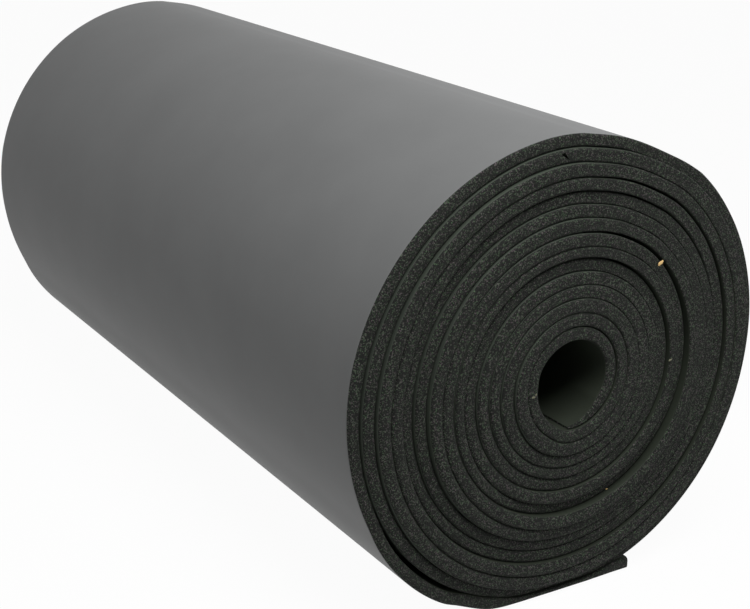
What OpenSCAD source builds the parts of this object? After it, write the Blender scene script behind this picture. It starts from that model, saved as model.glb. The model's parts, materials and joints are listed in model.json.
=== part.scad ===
// Roll of closed-cell foam insulation sheet that lies on its own loose tail.
// X runs along the roll, Z is up and the floor is at Z = 0. All sizes are in millimetres.

/* [Sheet] */
// Width of the sheet, which sets the length of the roll
sheet_width = 1000; // [300:50:1500]
// Thickness of the foam
sheet_thickness = 13; // [9:1:19]
// Bevel that stands for the softened cut edges
edge_break = 1.5; // [0.5:0.5:3]

/* [Winding] */
// Radius of the open bore inside the first turn
bore_radius = 41; // [30:1:90]
// Number of turns
turns = 15; // [5:1:20]
// Air that loose winding leaves between two turns
turn_gap = 1.3; // [0.6:0.1:2.5]
// Depth of the open slit between two turns at the ends
slit_depth = 8; // [4:1:14]
// Sideways shift of the turns against each other, as a share of the usual shift
stagger = 1; // [0:0.1:1.5]

/* [Underside] */
// Drop of the roll under its own weight
sag = 5; // [1:0.5:8]
// Slack of the outer wrap, which opens a gap low on its side
wrap_slack = 22; // [14:1:40]
// Reach of the tail along the floor past the middle of the roll
tail_reach = 103; // [60:1:105]

/* [Hidden] */
$fn = 96;

pitch = sheet_thickness + turn_gap;
last_turn = turns - 1;
outer_radius = turn_inside(last_turn) + sheet_thickness;
axis_height = outer_radius - sag;
half_width = sheet_width / 2;

// Each turn is three quarters of a circle round the bore, a straight run of one pitch along the
// bottom and a quarter circle round an axis one pitch further out, where the next turn begins.
bore_axis = [0, axis_height, 0];
step_axis = [pitch, axis_height, 0];
tongue_from = 285;

// The outer wrap hangs straight from its widest point and then bends onto the floor.
bend_radius = outer_radius - wrap_slack;
bend_axis = [-wrap_slack, bend_radius, 0];

// Usual sideways shift of each turn, from the inner end to the outer wrap
usual_shifts = [12, 10, 11, 9, 6.5, 5, 9, 6, 8.5, 3.5, 5, 4.5, 3, 4, -3];
raw_shifts = [for (turn = [0:last_turn]) stagger * usual_shifts[turn % len(usual_shifts)]];
middle_shift = (max(raw_shifts) + min(raw_shifts)) / 2;

function turn_inside(turn) = bore_radius + turn * pitch;
function shift(turn) = raw_shifts[turn] - middle_shift;

// Bevelled end of one layer of foam, from its inner face to its outer face
function layer_end(inside, level, bevel) = [
    [inside, level - bevel],
    [inside + edge_break, level],
    [inside + sheet_thickness - edge_break, level],
    [inside + sheet_thickness, level - bevel],
];

// Floor of the open slit outside one layer of foam
function slit_floor(inside, level) = [
    [inside + sheet_thickness, level],
    [inside + pitch, level],
];

// Ends of all layers on the near side (side = 1) or the far side (side = -1)
function stack_end(last, step, side) = [
    for (turn = [0:last])
        let (inside = turn_inside(turn))
        let (level = side * half_width + shift(turn + step))
        let (next = side * half_width + shift(min(turn + 1, last) + step))
        let (slit = side > 0 ? min(level, next) - slit_depth : max(level, next) + slit_depth)
        for (point = concat(
            layer_end(inside, level, side * edge_break),
            turn < last ? slit_floor(inside, slit) : []
        )) point
];

function reversed(list) = [for (index = [len(list) - 1:-1:0]) list[index]];

// Section through the layers of the roll, with the radius along x and the roll's length along y
module stack_section(last, step) {
    polygon(concat(stack_end(last, step, 1), reversed(stack_end(last, step, -1))));
}

// Section through the outer wrap alone
module wrap_section(inside) {
    near = layer_end(inside, half_width + shift(last_turn), edge_break);
    far = layer_end(inside, shift(last_turn) - half_width, -edge_break);
    polygon(concat(near, reversed(far)));
}

// Quarter circles of all layers up to the last one given, from one right angle to another
module wound(axis, from, to, last, step) {
    translate(axis)
        rotate(from)
            rotate_extrude(angle = to - from)
                stack_section(last, step);
}

// All full turns, with the outer one left off where the wrap hangs slack
module turns_body() {
    wound(bore_axis, 0, 180, last_turn, 0);
    wound(bore_axis, 180, 270, last_turn - 1, 0);
    translate(step_axis)
        rotate([90, 0, -90])
            linear_extrude(height = pitch)
                stack_section(last_turn - 1, 0);
    wound(step_axis, 270, 360, last_turn - 1, 1);
}

// Inner end of the sheet, which thins out against the second turn
module inner_end() {
    translate([0, 0, shift(0) - half_width])
        difference() {
            translate(step_axis)
                cylinder(r = bore_radius + edge_break / 2, h = sheet_width);
            translate(bore_axis)
                translate([0, 0, -1])
                    cylinder(r = bore_radius, h = sheet_width + 2);
            translate(bore_axis)
                rotate(tongue_from)
                    translate([-outer_radius, -2 * outer_radius, -1])
                        cube([2 * outer_radius, 2 * outer_radius, sheet_width + 2]);
        }
}

// Slack side of the outer wrap, its bend onto the floor and the tail under the roll
module outer_wrap() {
    translate([0, bend_radius, 0])
        rotate([90, 0, 180])
            linear_extrude(height = wrap_slack - sag)
                wrap_section(turn_inside(last_turn));
    translate(bend_axis)
        rotate(180)
            rotate_extrude(angle = 90)
                wrap_section(bend_radius - sheet_thickness);
    translate([tail_reach, bend_radius, 0])
        rotate([90, 0, -90])
            linear_extrude(height = wrap_slack + tail_reach)
                wrap_section(bend_radius - sheet_thickness);
}

module foam_roll() {
    color("#4b4f4e")
        rotate([90, 0, 90])
            union() {
                turns_body();
                inner_end();
                outer_wrap();
            }
}

foam_roll();
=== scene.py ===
# %% [markdown]
# # A roll of foam insulation sheet
# The object is a single piece: a sheet of closed-cell rubber foam, 1 m wide and 13 mm thick, wound on
# itself from a loose inner end in the bore to a tail that lies flat on the floor. A roll could be a
# cylinder with a spiral painted on its ends, but then the turns would have no depth. Here the sheet is
# made flat and rolled up by a rule, as the real one is, so every turn, gap and edge is real.

# %% Load the frame
import json
import math

import bmesh
import bpy
from mathutils import Matrix, Quaternion, Vector, noise


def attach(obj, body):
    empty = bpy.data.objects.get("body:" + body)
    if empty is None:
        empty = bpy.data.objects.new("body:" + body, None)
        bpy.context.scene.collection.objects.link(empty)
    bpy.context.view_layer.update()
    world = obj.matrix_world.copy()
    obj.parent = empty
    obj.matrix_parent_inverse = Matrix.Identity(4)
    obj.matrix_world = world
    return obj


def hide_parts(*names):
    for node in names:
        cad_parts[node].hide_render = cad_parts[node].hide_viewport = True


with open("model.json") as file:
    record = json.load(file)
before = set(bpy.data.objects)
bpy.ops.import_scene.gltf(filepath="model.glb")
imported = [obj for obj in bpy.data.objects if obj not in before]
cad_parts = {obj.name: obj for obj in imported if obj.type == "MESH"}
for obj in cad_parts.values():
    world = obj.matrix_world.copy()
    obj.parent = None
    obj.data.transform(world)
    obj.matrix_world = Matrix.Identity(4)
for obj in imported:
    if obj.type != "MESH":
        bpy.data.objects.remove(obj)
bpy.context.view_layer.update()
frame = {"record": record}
MM = 0.001

# %% [markdown]
# ## Camera
# The photograph looks at one end of the roll from its left, a little from above, so both the wound end
# and the long smooth side show. The place and the lens come from fitting the end's round outline and
# the two long edges. A camera could be aimed with a Track To constraint, but a plain rotation worked
# out from the viewing direction is easier to read back, and it takes the slight tilt of the photograph.

# %% Make the camera
def add_object(name, data):
    """Put a mesh, a lamp or a camera into the scene, and return its object."""
    item = bpy.data.objects.new(name, data)
    bpy.context.scene.collection.objects.link(item)
    return item


camera_lens = bpy.data.cameras.new("photo_camera")
camera_lens.lens = 73.45
camera_lens.sensor_width = 36
camera = add_object("photo_camera", camera_lens)
camera.location = (1.6268, -0.9125, 0.8286)
viewing_direction = Vector((-0.8061, 0.4906, -0.331))
camera_tilt = Quaternion((0, 0, 1), math.radians(0.42))
camera.rotation_euler = (viewing_direction.to_track_quat("-Z", "Y") @ camera_tilt).to_euler()
bpy.context.scene.camera = camera
print("Camera stands", round(camera.location.length, 2), "m from the origin")

# %% [markdown]
# ## Sizes of the roll
# The bore in the CAD record gives the sheet's nominal width, and a real sheet is cut a few millimetres
# wider. The other sizes are those of a usual roll: 13 mm foam, wound so that each turn adds a little
# more than the foam's own thickness. The length of sheet follows from them, because a spiral whose
# radius grows from a to b takes pi (b^2 - a^2) / pitch.

# %% Work out the sizes
bore = next(mount for mount in frame["record"]["mounts"] if mount["name"] == "bore")
cut_allowance = 5 * MM
sheet_width = bore["dims"]["length_mm"] * MM + cut_allowance
sheet_thickness = 13 * MM
edge_round = 2.8 * MM
pitch = 13.97 * MM
first_radius = 50.4 * MM
start_angle = math.radians(-94)
turns_wound = 15 + 4 / 360
tail_radius = first_radius + pitch * turns_wound
wound_length = math.pi * (tail_radius**2 - first_radius**2) / pitch
tail_length = 98 * MM
sheet_length = wound_length + tail_length
print(f"Sheet of {sheet_length:.2f} m in {turns_wound:.2f} turns, out to {tail_radius / MM:.0f} mm")

# %% [markdown]
# ## Small helpers
# Node trees get long when every node, setting and link has its own line. One helper adds any node: its
# settings are keyword arguments, and its inputs are values, sockets or other nodes, whose first output
# is then linked. Most nodes of a rule are Math nodes, so a kind in capitals, such as ADD, stands for a
# Math node with that operation. The other helpers turn the sRGB hex colours that people read into linear
# ones, turn a size in millimetres into the scale of a texture, and start a material.

# %% Define the helpers
# A Mix node has sockets for every type of data. These are the places of its two colours and their mix.
MIX_FIRST, MIX_SECOND, MIX_RESULT = 6, 7, 2


def add_node(tree, kind, inputs=(), **settings):
    """Add one node, apply its settings, fill or link its inputs, and return it."""
    if kind.isupper():
        settings["operation"] = kind
        kind = "ShaderNodeMath"
    node = tree.nodes.new(kind)
    for name, value in settings.items():
        setattr(node, name, value)
    for socket, value in inputs.items() if isinstance(inputs, dict) else enumerate(inputs):
        if isinstance(value, bpy.types.Node):
            value = value.outputs[0]
        if isinstance(value, bpy.types.NodeSocket):
            tree.links.new(value, node.inputs[socket])
        else:
            node.inputs[socket].default_value = value
    return node


def colour(hex_code):
    """Turn an sRGB hex colour into the linear RGBA of Blender's sockets."""
    parts = [int(hex_code[place:place + 2], 16) / 255 for place in (1, 3, 5)]
    linear = [part / 12.92 if part <= 0.04045 else ((part + 0.055) / 1.055) ** 2.4 for part in parts]
    return (*linear, 1.0)


def texture_scale(size_mm):
    """Scale of a texture whose features are this many millimetres apart."""
    return 1 / (size_mm * MM)


def start_material(name, roughness, specular=0.5):
    """Make a material and return it with its tree and its Principled BSDF."""
    material = bpy.data.materials.new(name)
    material.use_nodes = True
    shader = material.node_tree.nodes["Principled BSDF"]
    shader.inputs["Roughness"].default_value = roughness
    shader.inputs["Specular IOR Level"].default_value = specular
    return material, material.node_tree, shader


print("Mid grey is", [round(part, 3) for part in colour("#808080")])

# %% [markdown]
# ## Skin of the foam
# Nitrile rubber foam is extruded as a wide sheet, and the face that touches the die sets to a smooth,
# closed, satin skin. Under soft light it is a clean mid grey with a broad sheen. Its tone drifts a
# little over a hand's width, and a grain keeps the sheen soft, drawn coarser than the real one, which
# would be too fine to show. The skin wound inside the roll is painted a darker, greener grey, and the
# inner face darker still: this is painted shade for the turns and the bore. One function makes all
# three.

# %% Make the skin materials
drift_mm = 120
grain_mm = 1.8


def make_skin(name, dark, light, roughness):
    """A satin skin whose tone drifts between two greys."""
    material, tree, shader = start_material(name, roughness, 0.2)
    place = add_node(tree, "ShaderNodeTexCoord").outputs["Object"]
    drift = {"Vector": place, "Scale": texture_scale(drift_mm), "Detail": 4, "Roughness": 0.6}
    drift = add_node(tree, "ShaderNodeTexNoise", drift)
    tone = add_node(tree, "ShaderNodeMapRange", [drift, 0.35, 0.65, 0.0, 1.0])
    base = {"Factor": tone, MIX_FIRST: colour(dark), MIX_SECOND: colour(light)}
    base = add_node(tree, "ShaderNodeMix", base, data_type="RGBA")
    tree.links.new(base.outputs[MIX_RESULT], shader.inputs["Base Color"])
    grain = {"Vector": place, "Scale": texture_scale(grain_mm), "Detail": 2}
    grain = add_node(tree, "ShaderNodeTexNoise", grain)
    bump = add_node(tree, "ShaderNodeBump", {"Height": grain, "Strength": 0.15, "Distance": 0.3 * MM})
    tree.links.new(bump.outputs[0], shader.inputs["Normal"])
    return material


skin = make_skin("nitrile_foam_skin", "#5f6060", "#636464", 0.5)
# Painted shade: the wound turns' skin is given a darker, greener grey for the shade between the turns.
wound_skin_painted_shade = make_skin("wound_foam_skin_painted_shade", "#333832", "#383e36", 0.55)
# Painted shade: the inner face is given the darkest grey, for the shade in the bore and between the
# turns.
inner_skin_painted_shade = make_skin("inner_foam_skin_painted_shade", "#232720", "#282d25", 0.6)
print("Skin material has", len(skin.node_tree.nodes), "nodes")

# %% [markdown]
# ## Cut ends of the foam
# Where a knife went through the foam, its cells lie open. Each one is a tiny cup with a bright rim and
# a black floor, so the ends are nearly black with a salt-and-pepper speckle, partly greenish and partly
# pinkish. Real cells are about half a millimetre wide; they are drawn about twice as coarse, because
# they would be too fine to show. A Voronoi texture gives every cell a random colour, from which one
# channel makes the brightness and another the tint.

# %% Make the cut-foam material
cell_mm = 1.0


def make_cut_foam():
    """Open cells in random tones, most of them nearly black."""
    material, tree, shader = start_material("cut_nitrile_foam", 0.85, 0.25)
    place = add_node(tree, "ShaderNodeTexCoord").outputs["Object"]
    cells = add_node(tree, "ShaderNodeTexVoronoi", {"Vector": place, "Scale": texture_scale(cell_mm)})
    chance = add_node(tree, "ShaderNodeSeparateColor", [cells.outputs["Color"]]).outputs
    speckle = add_node(tree, "ShaderNodeValToRGB", [chance["Red"]])
    tones = speckle.color_ramp.elements
    tones[0].color = colour("#050605")
    tones[1].color = colour("#50534e")
    tones.new(0.65).color = colour("#0e110d")
    tint = {"Factor": chance["Green"], MIX_FIRST: colour("#ccffc8"), MIX_SECOND: colour("#ffd8f6")}
    tint = add_node(tree, "ShaderNodeMix", tint, data_type="RGBA")
    tinted = {"Factor": 1.0, MIX_FIRST: speckle, MIX_SECOND: tint.outputs[MIX_RESULT]}
    tinted = add_node(tree, "ShaderNodeMix", tinted, data_type="RGBA", blend_type="MULTIPLY")
    tree.links.new(tinted.outputs[MIX_RESULT], shader.inputs["Base Color"])
    bump = {"Height": cells.outputs["Distance"], "Strength": 0.7, "Distance": 0.6 * MM}
    bump = add_node(tree, "ShaderNodeBump", bump)
    tree.links.new(bump.outputs[0], shader.inputs["Normal"])
    return material


cut_foam = make_cut_foam()
print("Cut foam material has", len(cut_foam.node_tree.nodes), "nodes")

# %% [markdown]
# ## Section of the sheet
# The sheet's section is a long rectangle whose four corners are rounded, because soft foam gives way
# under the knife. A Bevel could round them later, but on a mesh this long it is simpler to draw the
# section once and sweep it. Each corner is an arc with one extra point on either side, which keeps the
# shading of the wide flat faces flat. The front edge, which is seen closest, has finer arcs. The
# section's x is the place across the sheet and its y the depth below the outer face.

# %% Draw the section
back_steps = 3
front_steps = 4
corner_margin = 0.8 * MM


def rounded_section(width, thickness, radius, margin):
    """Points round the section, counter-clockwise, with the outer face of the sheet at y = 0."""
    points = []
    back_corners = ((-1, 1, 90, back_steps), (-1, 0, 180, back_steps))
    front_corners = ((1, 0, 270, front_steps), (1, 1, 0, front_steps))
    for x_sign, y_far, first_angle, steps in back_corners + front_corners:
        centre = Vector((x_sign * (width / 2 - radius), thickness - radius if y_far else radius))
        angles = [math.radians(first_angle + 90 * step / steps) for step in range(steps + 1)]
        arc = [centre + radius * Vector((math.cos(angle), math.sin(angle))) for angle in angles]
        before = arc[0] + margin * Vector((math.sin(angles[0]), -math.cos(angles[0])))
        after = arc[-1] + margin * Vector((-math.sin(angles[-1]), math.cos(angles[-1])))
        points += [before, *arc, after]
    return points


section_points = rounded_section(sheet_width, sheet_thickness, edge_round, corner_margin)
section = bpy.data.curves.new("sheet_section", "CURVE")
section.dimensions = "3D"
outline = section.splines.new("POLY")
outline.points.add(len(section_points) - 1)
for spline_point, point in zip(outline.points, section_points):
    spline_point.co = (point.x, point.y, 0, 1)
outline.use_cyclic_u = True
print("Section has", len(section_points), "points")

# %% [markdown]
# ## How the turns stand against each other
# A roll is wound with the sheet wandering sideways, so no two turns end in the same plane. Where a turn
# stands proud its smooth skin shows, and where it is set back the gap beside it looks black. The turns
# aren't quite round either: they bulge and sink a little, and some stand open by a millimetre or more.
# The outer wrap hangs slack low on its side, and a flat is pressed into the top of the roll, which the
# turns below share less and less. The cut corners are crisper on one side of the roll than elsewhere.
# Each of these is a list of pairs, rounded and adjusted until the render looked like the photograph.
# The first number of a pair counts turns: over the whole roll, over the last turn for the slack, or
# over every turn for the flat and the sharpness. The second is in millimetres, apart from the flat's,
# which is a share of its depth, and the sharpness, which is the share of the corner's rounding that is
# gone.

# %% List how the turns stand
edge_wander = (
    (0, 11), (0.3, 13), (0.6, 15), (0.95, 15), (1.3, 14), (1.6, 16), (1.8, 17), (2, 15.5), (2.5, 14),
    (2.75, 14), (3, 12.5), (3.5, 12.5), (3.8, 12.5), (4.1, 11), (4.5, 11.5), (4.75, 11.5), (5, 8.8),
    (5.75, 8.8), (5.95, 12.8), (6.75, 12.8), (7, 7), (7.25, 7), (7.5, 13), (7.75, 12), (8, 16.5),
    (8.25, 11.5), (8.5, 10.8), (8.75, 14.5), (9, 9.3), (9.5, 8.5), (9.75, 8), (10, 5.2), (10.25, 7),
    (10.5, 6.3), (10.75, 4), (11.05, 5), (11.25, 5.5), (11.5, 10), (12, 9.5), (12.25, 8.5),
    (12.5, 10.2), (12.75, 11.2), (13, 8.3), (13.25, 9.3), (13.5, 5.8), (13.75, 5.8), (13.97, -2),
    (14.28, -2), (14.5, 3), (14.75, 1), (15.1, 1),
)
uneven_turns = (
    (0, 2), (0.15, 1), (0.4, 0.5), (0.65, 0), (0.8, -2.5), (0.9, -0.5), (0.97, 2), (1.1, 1),
    (1.4, 1.2), (1.72, -1), (1.96, 2), (2.4, 2), (2.7, 0.5), (2.96, 2.2), (3.4, 2), (3.7, -0.5),
    (3.96, 1), (4.4, 1.4), (4.72, -0.3), (4.96, 1), (5.4, 0.5), (5.96, 1), (6.7, -1), (7.4, -0.8),
    (8.4, 0.4), (9.4, 0.3), (10.4, -0.7), (11.4, -0.5), (12.5, 0.5), (13.55, 1.2),
    (14, 0), (14.3, 0), (14.56, 2.5), (14.63, 2.9), (14.72, 1.3), (14.8, 0), (15.1, 0),
)
open_gaps = (
    (0, 0), (0.95, 0), (1.05, 0.7), (1.4, 0.7), (1.7, 0.3), (1.9, 0), (5.95, 0), (6.1, 1), (6.25, 1.8),
    (6.45, 1.8), (6.7, 0.8), (6.9, 0), (7.95, 0), (8.05, 1), (8.2, 3), (8.32, 3), (8.45, 1), (8.55, 0),
    (11.15, 0), (11.3, 0.8), (11.45, 1.2), (11.6, 0.8), (11.8, 0), (11.95, 0), (12.05, 1), (12.2, 2.2),
    (12.35, 2.2), (12.45, 1), (12.6, 0), (15.1, 0),
)
wrap_slack = (
    (0, 0), (0.11, 4), (0.19, 2.8), (0.26, 4), (0.32, 3), (0.36, 1.2), (0.4, -1.2), (0.45, 0.5),
    (0.55, 0), (0.75, 0), (0.79, 0.5), (0.86, 4.8), (0.885, 3), (0.915, 0), (1, 0),
)
pressed_flat = ((0, 0), (0.355, 0), (0.41, 1), (0.43, 1), (0.47, 0.4), (0.53, 0), (1, 0))
edge_sharpness = (
    (0, -0.2), (0.1, -0.1), (0.2, 0.3), (0.3, 0.4), (0.4, 0.4), (0.48, 0), (0.6, -0.3), (0.85, -0.4),
    (1, -0.2),
)
shifts = [shift for _, shift in edge_wander]
print("The turns wander by", max(shifts) - min(shifts), "mm")

# %% [markdown]
# ## From a list to a smooth shape
# A Float Curve draws a smooth line through the pairs. It only knows the square from 0 to 1, so the turns
# are divided by the list's last turn on their way in, and a Map Range gives the values their unit on
# their way out. Clamped handles keep the line from swinging past a pair.

# %% Define the shapes
def draw_curve(node, pairs):
    """Give a Float Curve node the listed points, scaled to the square from 0 to 1."""
    curve = node.mapping.curves[0]
    span = pairs[-1][0]
    low = min(value for _, value in pairs)
    high = max(value for _, value in pairs)
    scaled = [(place / span, (value - low) / (high - low)) for place, value in pairs]
    curve.points[0].location = scaled[0]
    curve.points[1].location = scaled[-1]
    for place, value in scaled[1:-1]:
        curve.points.new(place, value)
    for point in curve.points:
        point.handle_type = "AUTO_CLAMPED"
    node.mapping.update()
    return low, high


def add_shape(tree, turn, pairs, unit):
    """Add a smooth shape of the listed pairs over the given turn, in multiples of the unit."""
    share = add_node(tree, "DIVIDE", [turn, pairs[-1][0]], use_clamp=True)
    shape = add_node(tree, "ShaderNodeFloatCurve", {"Value": share})
    low, high = draw_curve(shape, pairs)
    return add_node(tree, "ShaderNodeMapRange", [shape, 0.0, 1.0, low * unit, high * unit])


print("The longest list has", len(edge_wander), "pairs")

# %% [markdown]
# ## The rule that rolls the sheet up
# The sheet follows one rule from end to end, so a Geometry Nodes tree makes it. The tree takes the drawn
# section and the sizes below, each as a named input, and the next cells add its nodes step by step.

# %% Start the roll-up tree
front_edge = 496.5 * MM
roll_sizes = {
    "Sheet width": sheet_width,
    "Sheet thickness": sheet_thickness,
    "Sheet length": sheet_length,
    "Sheet middle": front_edge - sheet_width / 2,
    "Edge round": edge_round,
    "Wound length": wound_length,
    "First radius": first_radius,
    "Pitch": pitch,
    "Start angle": start_angle,
    "Turns": turns_wound,
    "Axis height": 246.5 * MM,
    "Axis offset": 3.6 * MM,
    "Bottom radius": 246 * MM,
    "Bottom blend": 8 * MM,
    "Pressed thickness": 5 * MM,
    "Pressed blend": 4 * MM,
    "Inner sag": 0.8 * MM,
    "Inner taper": 50 * MM,
    "Flat depth": 4.4 * MM,
    "Air gap": 0.4 * MM,
}
roll_tree = bpy.data.node_groups.new("roll_up_sheet", "GeometryNodeTree")
roll_tree.interface.new_socket("Geometry", in_out="OUTPUT", socket_type="NodeSocketGeometry")
roll_tree.interface.new_socket("Section", in_out="INPUT", socket_type="NodeSocketGeometry")
for name in roll_sizes:
    roll_tree.interface.new_socket(name, in_out="INPUT", socket_type="NodeSocketFloat")
size = add_node(roll_tree, "NodeGroupInput").outputs
print("The tree takes", len(roll_sizes), "sizes")

# %% [markdown]
# ## A flat sheet
# The sheet starts out flat, as it leaves the factory: Curve to Mesh sweeps the section along a straight
# line and caps both ends. Three attributes remember where each point lies on the flat sheet, along it,
# across it and below its outer face, because the next steps move every point.

# %% Sweep the flat sheet
ring_count = 3500
far_end = add_node(roll_tree, "ShaderNodeCombineXYZ", {"Y": size["Sheet length"]})
line = add_node(roll_tree, "GeometryNodeCurvePrimitiveLine", {"End": far_end})
rail = add_node(roll_tree, "GeometryNodeResampleCurve", {"Curve": line, "Count": ring_count})
length = add_node(roll_tree, "GeometryNodeSplineParameter").outputs["Length"]
stored = {"Geometry": rail, "Name": "along", "Value": length}
rail = add_node(roll_tree, "GeometryNodeStoreNamedAttribute", stored)
position = add_node(roll_tree, "GeometryNodeInputPosition")
drawn = add_node(roll_tree, "ShaderNodeSeparateXYZ", [position]).outputs
profile = size["Section"]
for name, value in (("across", drawn["X"]), ("depth", drawn["Y"])):
    stored = {"Geometry": profile, "Name": name, "Value": value}
    profile = add_node(roll_tree, "GeometryNodeStoreNamedAttribute", stored)
swept = {"Curve": rail, "Profile Curve": profile, "Fill Caps": True}
flat_sheet = add_node(roll_tree, "GeometryNodeCurveToMesh", swept)
along, across, depth = [
    add_node(roll_tree, "GeometryNodeInputNamedAttribute", {"Name": name})
    for name in ("along", "across", "depth")
]
print("The flat sheet has", ring_count, "slices")

# %% [markdown]
# ## Winding
# The formula for the length of sheet, solved for the outer radius, gives the radius at which each point
# is wound, and the radius gives the turn and the angle. The lists above count their turns as laps, from
# a place just past the bottom of the roll.

# %% Wind the sheet
lap_start = math.radians(-80)
wound = add_node(roll_tree, "MINIMUM", [along, size["Wound length"]])
growth = add_node(roll_tree, "DIVIDE", [size["Pitch"], math.pi])
first_square = add_node(roll_tree, "POWER", [size["First radius"], 2.0])
radius_square = add_node(roll_tree, "MULTIPLY_ADD", [wound, growth, first_square])
radius = add_node(roll_tree, "SQRT", [radius_square])
gained = add_node(roll_tree, "SUBTRACT", [radius, size["First radius"]])
turn = add_node(roll_tree, "DIVIDE", [gained, size["Pitch"]])
angle = add_node(roll_tree, "MULTIPLY_ADD", [turn, math.tau, size["Start angle"]])
lap = add_node(roll_tree, "SUBTRACT", [turn, (lap_start - start_angle) / math.tau])
print("Laps start", round(math.degrees(lap_start - start_angle)), "degrees after the sheet does")

# %% [markdown]
# ## Soft turns
# Foam is soft, so a turn swells or thins to fill the room down to the turn inside it, apart from a
# little air and the open gaps. Both turns stand out of the true spiral by the list of uneven turns, less
# the flat, which is felt more and more towards the outside. The innermost turn has nothing inside it, so
# it keeps at least the sheet's thickness, and the inner end of the sheet tapers to a tip.

# %% Let each turn fill its room
flat_laps = (3.0, 14.4)
flat_growth = 1.5
tip_share = 0.15


def stand_out(lap):
    """How far a turn stands out of the true spiral, with the flat taken off."""
    lap_share = add_node(roll_tree, "FRACT", [lap])
    flat = add_shape(roll_tree, lap_share, pressed_flat, 1.0)
    felt = add_node(roll_tree, "ShaderNodeMapRange", [lap, *flat_laps, 0.0, 1.0])
    felt = add_node(roll_tree, "POWER", [felt, flat_growth])
    flat = add_node(roll_tree, "MULTIPLY", [flat, felt])
    flat = add_node(roll_tree, "MULTIPLY", [flat, size["Flat depth"]])
    return add_node(roll_tree, "SUBTRACT", [add_shape(roll_tree, lap, uneven_turns, MM), flat])


bulge = stand_out(lap)
lap_inside = add_node(roll_tree, "SUBTRACT", [lap, 1.0])
spacing = add_node(roll_tree, "ADD", [size["Pitch"], bulge])
spacing = add_node(roll_tree, "SUBTRACT", [spacing, stand_out(lap_inside)])
gap = add_node(roll_tree, "ADD", [add_shape(roll_tree, lap, open_gaps, MM), size["Air gap"]])
filled = add_node(roll_tree, "SUBTRACT", [spacing, gap])
filled = add_node(roll_tree, "DIVIDE", [filled, size["Sheet thickness"]])
is_innermost = add_node(roll_tree, "LESS_THAN", [lap, 1.0])
swell = add_node(roll_tree, "MAXIMUM", [filled, is_innermost])
taper = add_node(roll_tree, "ShaderNodeMapRange", [along, 0.0, size["Inner taper"], tip_share, 1.0])
print("The gaps open up to", max(width for _, width in open_gaps), "mm")

# %% [markdown]
# ## Cut corners
# The corners along the front edge aren't equally round. By the list of sharpness, the points of a corner
# are drawn in towards it or pushed away from it, both across the sheet and in depth. The back edge and
# the innermost turns keep the corner as it was drawn.

# %% Sharpen and soften the corners
changed_laps = (1.5, 3.5)
lap_share = add_node(roll_tree, "FRACT", [lap])
sharp = add_shape(roll_tree, lap_share, edge_sharpness, 1.0)
outwards = add_node(roll_tree, "ShaderNodeMapRange", [lap, *changed_laps, 0.0, 1.0])
sharp = add_node(roll_tree, "MULTIPLY", [sharp, outwards])
is_front = add_node(roll_tree, "GREATER_THAN", [across, 0.0])
sharp = add_node(roll_tree, "MULTIPLY", [sharp, is_front])
soft = add_node(roll_tree, "SUBTRACT", [1.0, sharp])
half_width = add_node(roll_tree, "MULTIPLY", [size["Sheet width"], 0.5])
side = add_node(roll_tree, "SIGN", [across])
nearest_edge = add_node(roll_tree, "MULTIPLY", [side, half_width])
from_edge = add_node(roll_tree, "SUBTRACT", [across, nearest_edge])
soft_across = add_node(roll_tree, "MULTIPLY_ADD", [soft, from_edge, nearest_edge])
half_thickness = add_node(roll_tree, "MULTIPLY", [size["Sheet thickness"], 0.5])
is_deep = add_node(roll_tree, "GREATER_THAN", [depth, half_thickness])
nearest_face = add_node(roll_tree, "MULTIPLY", [is_deep, size["Sheet thickness"]])
from_face = add_node(roll_tree, "SUBTRACT", [depth, nearest_face])
soft_depth = add_node(roll_tree, "MULTIPLY_ADD", [soft, from_face, nearest_face])
tapered_depth = add_node(roll_tree, "MULTIPLY", [soft_depth, taper])
layer_depth = add_node(roll_tree, "MULTIPLY", [tapered_depth, swell])
print("The sharpest corner loses", max(share for _, share in edge_sharpness), "of its rounding")

# %% [markdown]
# ## Round the axis
# Radius, slack, bulge and depth together give the reach from the axis, and a Vector Rotate turns that
# spoke to its angle. What is left of the sheet after the last turn runs on straight, as the tail. Along
# the roll, each point is moved by the wander of its turn.

# %% Turn the sheet round the axis
last_lap = 14.0
lap_of_wrap = add_node(roll_tree, "SUBTRACT", [lap, last_lap])
slack = add_shape(roll_tree, lap_of_wrap, wrap_slack, MM)
outside = add_node(roll_tree, "ADD", [radius, slack])
outside = add_node(roll_tree, "ADD", [outside, bulge])
reach = add_node(roll_tree, "SUBTRACT", [outside, layer_depth])
spoke = add_node(roll_tree, "ShaderNodeCombineXYZ", {"Y": reach})
turned = {"Vector": spoke, "Angle": angle}
turned = add_node(roll_tree, "ShaderNodeVectorRotate", turned, rotation_type="X_AXIS")
ring = add_node(roll_tree, "ShaderNodeSeparateXYZ", [turned]).outputs
left_over = add_node(roll_tree, "SUBTRACT", [along, wound])
sideways = add_node(roll_tree, "ADD", [ring["Y"], size["Axis offset"]])
sideways = add_node(roll_tree, "ADD", [sideways, left_over])
hanging = add_node(roll_tree, "ADD", [ring["Z"], size["Axis height"]])
shift = add_shape(roll_tree, lap, edge_wander, MM)
lengthways = add_node(roll_tree, "ADD", [soft_across, shift])
lengthways = add_node(roll_tree, "ADD", [lengthways, size["Sheet middle"]])
print("The tail runs on for", round(tail_length / MM), "mm")

# %% [markdown]
# ## Weight on the floor
# Gravity comes next. No turn can sink below the ones under it, so each rests on a floor of its own, and
# a smooth maximum makes its round side run into the flat bottom. Under the middle of the roll the sheet
# is pressed thin, and further out, where the roll curves up from the floor, it gets its thickness back.

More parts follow.
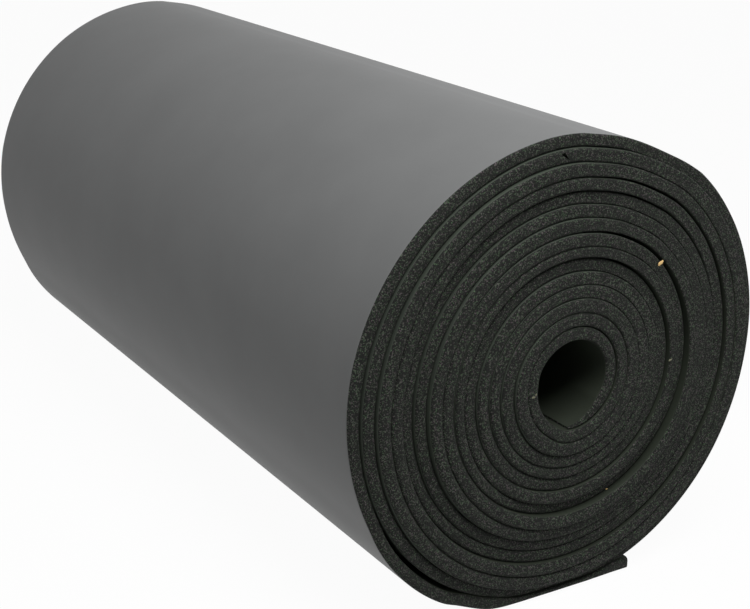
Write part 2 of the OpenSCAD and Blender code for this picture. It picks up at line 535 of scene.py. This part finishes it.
# %% Rest the turns on each other
square = add_node(roll_tree, "MULTIPLY", [sideways, sideways])
bottom_width = add_node(roll_tree, "MULTIPLY", [size["Bottom radius"], 2.0])
room = add_node(roll_tree, "DIVIDE", [square, bottom_width])
room = add_node(roll_tree, "SMOOTH_MAX", [room, size["Pressed thickness"], size["Pressed blend"]])
room = add_node(roll_tree, "MINIMUM", [room, size["Sheet thickness"]])
turns_below = add_node(roll_tree, "SUBTRACT", [size["Turns"], turn])
own_floor = add_node(roll_tree, "MULTIPLY", [turns_below, size["Pressed thickness"]])
depth_share = add_node(roll_tree, "DIVIDE", [layer_depth, size["Sheet thickness"]])
resting = add_node(roll_tree, "MULTIPLY_ADD", [depth_share, room, own_floor])
sag = add_node(roll_tree, "DIVIDE", [turns_below, size["Turns"]])
sag = add_node(roll_tree, "MULTIPLY", [sag, size["Inner sag"]])
sagging = add_node(roll_tree, "SUBTRACT", [hanging, sag])
height = add_node(roll_tree, "SMOOTH_MAX", [sagging, resting, size["Bottom blend"]])
place = add_node(roll_tree, "ShaderNodeCombineXYZ", [lengthways, sideways, height])
rolled = add_node(roll_tree, "GeometryNodeSetPosition", {"Geometry": flat_sheet, "Position": place})
print("The tree has", len(roll_tree.nodes), "nodes so far")

# %% [markdown]
# ## Which face has which finish
# The outer wrap has the satin skin. The wound turns get a darker skin and the inner face the darkest, as
# painted shade between the turns and in the bore. The cut foam comes last, on both edges, where it
# starts a little way into the rounding, and on both tips.
# Each finish is a Set Material with its own selection, which paints over the one before it.

# %% Paint the sheet and end the tree
cut_share = 0.7
inner_share = 0.4
tip_reach = 0.1 * MM
wound_laps = 13.97
from_middle = add_node(roll_tree, "ABSOLUTE", [across])
cut_limit = add_node(roll_tree, "MULTIPLY_ADD", [size["Edge round"], -cut_share, half_width])
is_end = add_node(roll_tree, "GREATER_THAN", [from_middle, cut_limit])
half_length = add_node(roll_tree, "MULTIPLY", [size["Sheet length"], 0.5])
from_halfway = add_node(roll_tree, "SUBTRACT", [along, half_length])
from_halfway = add_node(roll_tree, "ABSOLUTE", [from_halfway])
tip_limit = add_node(roll_tree, "SUBTRACT", [half_length, tip_reach])
is_tip = add_node(roll_tree, "GREATER_THAN", [from_halfway, tip_limit])
is_cut = add_node(roll_tree, "MAXIMUM", [is_end, is_tip])
# Painted shade: the wound turns take the darker skin.
wound_shade_mask = add_node(roll_tree, "LESS_THAN", [lap, wound_laps])
# Painted shade: the inner face takes the darkest skin.
inner_limit = [size["Edge round"], -inner_share, size["Sheet thickness"]]
inner_limit = add_node(roll_tree, "MULTIPLY_ADD", inner_limit)
inner_shade_mask = add_node(roll_tree, "GREATER_THAN", [depth, inner_limit])
smooth = add_node(roll_tree, "GeometryNodeSetShadeSmooth", {"Geometry": rolled})
finished = add_node(roll_tree, "GeometryNodeRealizeInstances", {"Geometry": smooth})
finishes = ((True, skin), (wound_shade_mask, wound_skin_painted_shade), (inner_shade_mask, inner_skin_painted_shade), (is_cut, cut_foam))
for where, material in finishes:
    painted = {"Geometry": finished, "Selection": where, "Material": material}
    finished = add_node(roll_tree, "GeometryNodeSetMaterial", painted)
add_node(roll_tree, "NodeGroupOutput", [finished])
print("Roll-up tree has", len(roll_tree.nodes), "nodes")

# %% [markdown]
# ## Roll it up
# The tree runs as a modifier on the drawn section. Its sizes are set by each socket's identifier, and
# the evaluated result becomes a plain mesh, so the finished piece no longer depends on the tree. Rolling
# can turn the sheet inside out, which a negative volume tells, and then all faces are turned round.

# %% Turn the rolled sheet into a mesh
section_object = add_object("sheet_section", section)
roller = section_object.modifiers.new("roll_up", "NODES")
roller.node_group = roll_tree
for item in roll_tree.interface.items_tree:
    if item.name in roll_sizes:
        roller[item.identifier] = roll_sizes[item.name]
evaluated = section_object.evaluated_get(bpy.context.evaluated_depsgraph_get())
roll_mesh = bpy.data.meshes.new_from_object(evaluated)
section_object.modifiers.remove(roller)
bpy.data.objects.remove(section_object)
roll_mesh.name = "foam_sheet"
foam_sheet = add_object("foam_sheet", roll_mesh)

surface = bmesh.new()
surface.from_mesh(roll_mesh)
volume = surface.calc_volume(signed=True)
if volume < 0:
    bmesh.ops.reverse_faces(surface, faces=surface.faces[:])
    surface.to_mesh(roll_mesh)
surface.free()
print("Rolled sheet has", len(roll_mesh.polygons), "faces and holds", round(abs(volume), 4), "m3")
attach(foam_sheet, "root")
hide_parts("foam_roll")

# %% [markdown]
# ## A torn nick
# Near the top, a crumb of foam is torn out of the end of an outer turn. A Boolean could cut it, but on a
# sheet that is wound against itself it is slow and fragile. Instead, three straight cuts through the few
# faces there draw the torn outline, and the faces inside it make way for a floor deep in the foam and
# walls that lead down to it. They are built face by face, because an extrusion may put the walls in
# another order from run to run.

# %% Tear the nick
nick_front = 502
nick_outline = ((-21, 481.5), (-11, 475), (-16.5, 483.5))
nick_corners = [Vector((nick_front, *corner)) * MM for corner in nick_outline]
nick_middle = sum(nick_corners, Vector()) / len(nick_corners)
nick_depth = 11 * MM
nick_reach = 14 * MM
facing_front = 0.4
along_roll = Vector((1, 0, 0))
nick_sides = []
for corner, next_corner in zip(nick_corners, nick_corners[1:] + nick_corners[:1]):
    nick_sides.append((corner, (next_corner - corner).cross(along_roll).normalized()))


def faces_near_nick(torn):
    """The end faces within reach of the nick."""
    near = [face for face in torn.faces if (face.calc_center_median() - nick_middle).length < nick_reach]
    return [face for face in near if face.normal.x > facing_front]


torn = bmesh.new()
torn.from_mesh(roll_mesh)
for corner, outward in nick_sides:
    faces = faces_near_nick(torn)
    geometry = dict.fromkeys(part for face in faces for part in (face, *face.edges, *face.verts))
    bmesh.ops.bisect_plane(torn, geom=list(geometry), plane_co=corner, plane_no=outward)
inside = []
for face in faces_near_nick(torn):
    middle = face.calc_center_median()
    if all((middle - corner).dot(outward) < 0 for corner, outward in nick_sides):
        inside.append(face)
torn_faces = len(inside)
nick_floor = nick_middle.x - nick_depth
deep = {}
for vert in [vert for face in inside for vert in face.verts]:
    if vert not in deep:
        deep[vert] = torn.verts.new((nick_floor, vert.co.y, vert.co.z))
for face in inside:
    new_faces = [[deep[vert] for vert in face.verts]]
    for loop in face.loops:
        if loop.link_loop_radial_next.face not in inside:
            start, end = loop.vert, loop.link_loop_next.vert
            new_faces.append([start, end, deep[end], deep[start]])
    for new_face in new_faces:
        torn.faces.new(new_face).material_index = face.material_index
bmesh.ops.delete(torn, geom=inside, context="FACES")
torn.normal_update()
open_edges = sum(not edge.is_manifold for edge in torn.edges)
torn.to_mesh(roll_mesh)
torn.free()
print("The nick took the place of", torn_faces, "faces and left", open_edges, "open edges")

# %% [markdown]
# ## Chip and specks
# A tan chip has stuck between two turns on the right, with a crumb of the same colour lower down, and a
# few pale specks lie on the cut foam. Each is a small ball pressed flat, with its corners pushed about
# by a noise, so no two are alike. A flake is given by its middle, the way its long side points and its
# length, width and thickness. Its flat side lies on the end of the roll, in which it is half sunk.

# %% Make the chip and the specks
noise_scale = 3
noise_share = 0.5


def make_flakes(name, hex_code, flakes):
    """Make one piece of flakes in one colour, from middles, long sides and sizes in millimetres."""
    material, _, shader = start_material(name, 0.8)
    shader.inputs["Base Color"].default_value = colour(hex_code)
    mesh = bmesh.new()
    for middle, long_side, flake_size in flakes:
        long_side = Vector(long_side).normalized()
        wide_side = along_roll.cross(long_side).normalized()
        flake_axes = Matrix((long_side, wide_side, long_side.cross(wide_side))).transposed()
        for vert in bmesh.ops.create_icosphere(mesh, subdivisions=1, radius=0.5)["verts"]:
            push = 1 + noise_share * noise.noise(noise_scale * vert.co + Vector(middle))
            vert.co = (Vector(middle) + flake_axes @ (push * vert.co * Vector(flake_size))) * MM
    data = bpy.data.meshes.new(name)
    mesh.to_mesh(data)
    mesh.free()
    data.materials.append(material)
    piece = add_object(name, data)
    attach(piece, "root")
    return piece


tan_flakes = [
    ((507.2, 109.8, 353.8), (1.9, 7.2, 5.6), (9, 4.4, 2.2)),
    ((501.4, 61.2, 108.5), (0, 0.9, 0.4), (2.6, 1.8, 2.2)),
]
chip = make_flakes("tan_chip", "#cfae74", tan_flakes)
pale_flakes = [
    ((511.4, -48.9, 240.4), (0, 1, 0.1), (5.5, 2.6, 1.6)),
    ((511.3, -45.8, 242.6), (0, 0.3, 1), (3, 2.4, 1.6)),
    ((509, 131.6, 244.4), (0, 1, 0.6), (5.5, 2.2, 1.8)),
]
specks = make_flakes("pale_specks", "#62624f", pale_flakes)
print("Flakes have", len(chip.data.polygons) + len(specks.data.polygons), "faces")

# %% [markdown]
# ## Floor
# The roll lies on a plain white floor that keeps its soft shadow. A floor lit no more than the roll is
# a light grey, so the rays that show the background see it mixed with white, as it would look in a
# photograph on a bright table. Every other ray meets the plain floor.

# %% Make the floor
floor_half = 12.0
floor_whiteness = 0.96


def background_rays(tree):
    """1 for rays that show the background: from the camera, a gloss or glass."""
    ray = add_node(tree, "ShaderNodeLightPath").outputs
    seen = add_node(tree, "MAXIMUM", [ray["Is Camera Ray"], ray["Is Glossy Ray"]])
    return add_node(tree, "MAXIMUM", [seen, ray["Is Transmission Ray"]])


floor_material, floor_tree, floor_shader = start_material("matt_white_floor", 0.9)
floor_shader.inputs["Base Color"].default_value = colour("#dcdcdb")
glow = add_node(floor_tree, "ShaderNodeEmission", {"Color": colour("#ffffff"), "Strength": 1.0})
floor_white = add_node(floor_tree, "MULTIPLY", [background_rays(floor_tree), floor_whiteness])
floor_mix = add_node(floor_tree, "ShaderNodeMixShader", [floor_white, floor_shader, glow])
floor_tree.links.new(floor_mix.outputs[0], floor_tree.nodes["Material Output"].inputs["Surface"])
floor_mesh = bpy.data.meshes.new("floor")
floor_corners = [(x * floor_half, y * floor_half, 0) for x, y in ((-1, -1), (1, -1), (1, 1), (-1, 1))]
floor_mesh.from_pydata(floor_corners, [], [(0, 1, 2, 3)])
floor_mesh.materials.append(floor_material)
floor = add_object("floor", floor_mesh)
print("Floor is", 2 * floor_half, "m wide")

# %% [markdown]
# ## Light
# The photograph was lit softly from above, with the room filling in the rest: the top of the roll is
# the lightest, the side falls off gently, and no edge of a shadow shows. One wide lamp overhead and an
# even white world do the same.

# %% Make the lights
lamp_place = Vector((1.2, -0.22, 1.9))
lamp_target = Vector((0.2, 0, 0.25))
room_level = 0.16
lamp_data = bpy.data.lights.new("overhead_lamp", "AREA")
lamp_data.shape = "SQUARE"
lamp_data.size = 1.0
lamp_data.energy = 44.5
lamp = add_object("overhead_lamp", lamp_data)
lamp.location = lamp_place
lamp.rotation_euler = (lamp_target - lamp_place).to_track_quat("-Z", "Y").to_euler()

world = bpy.data.worlds.new("studio")
bpy.context.scene.world = world
world.use_nodes = True
world_tree = world.node_tree
room_light = world_tree.nodes["Background"]
room_light.inputs["Color"].default_value = colour("#ffffff")
room_light.inputs["Strength"].default_value = room_level
backdrop = add_node(world_tree, "ShaderNodeBackground", {"Color": colour("#ffffff"), "Strength": 1.0})
shown = [background_rays(world_tree), room_light, backdrop]
shown = add_node(world_tree, "ShaderNodeMixShader", shown)
world_tree.links.new(shown.outputs[0], world_tree.nodes["World Output"].inputs["Surface"])
bpy.context.scene.view_settings.view_transform = "Standard"
print("Lamps:", [item.name for item in bpy.data.lights])
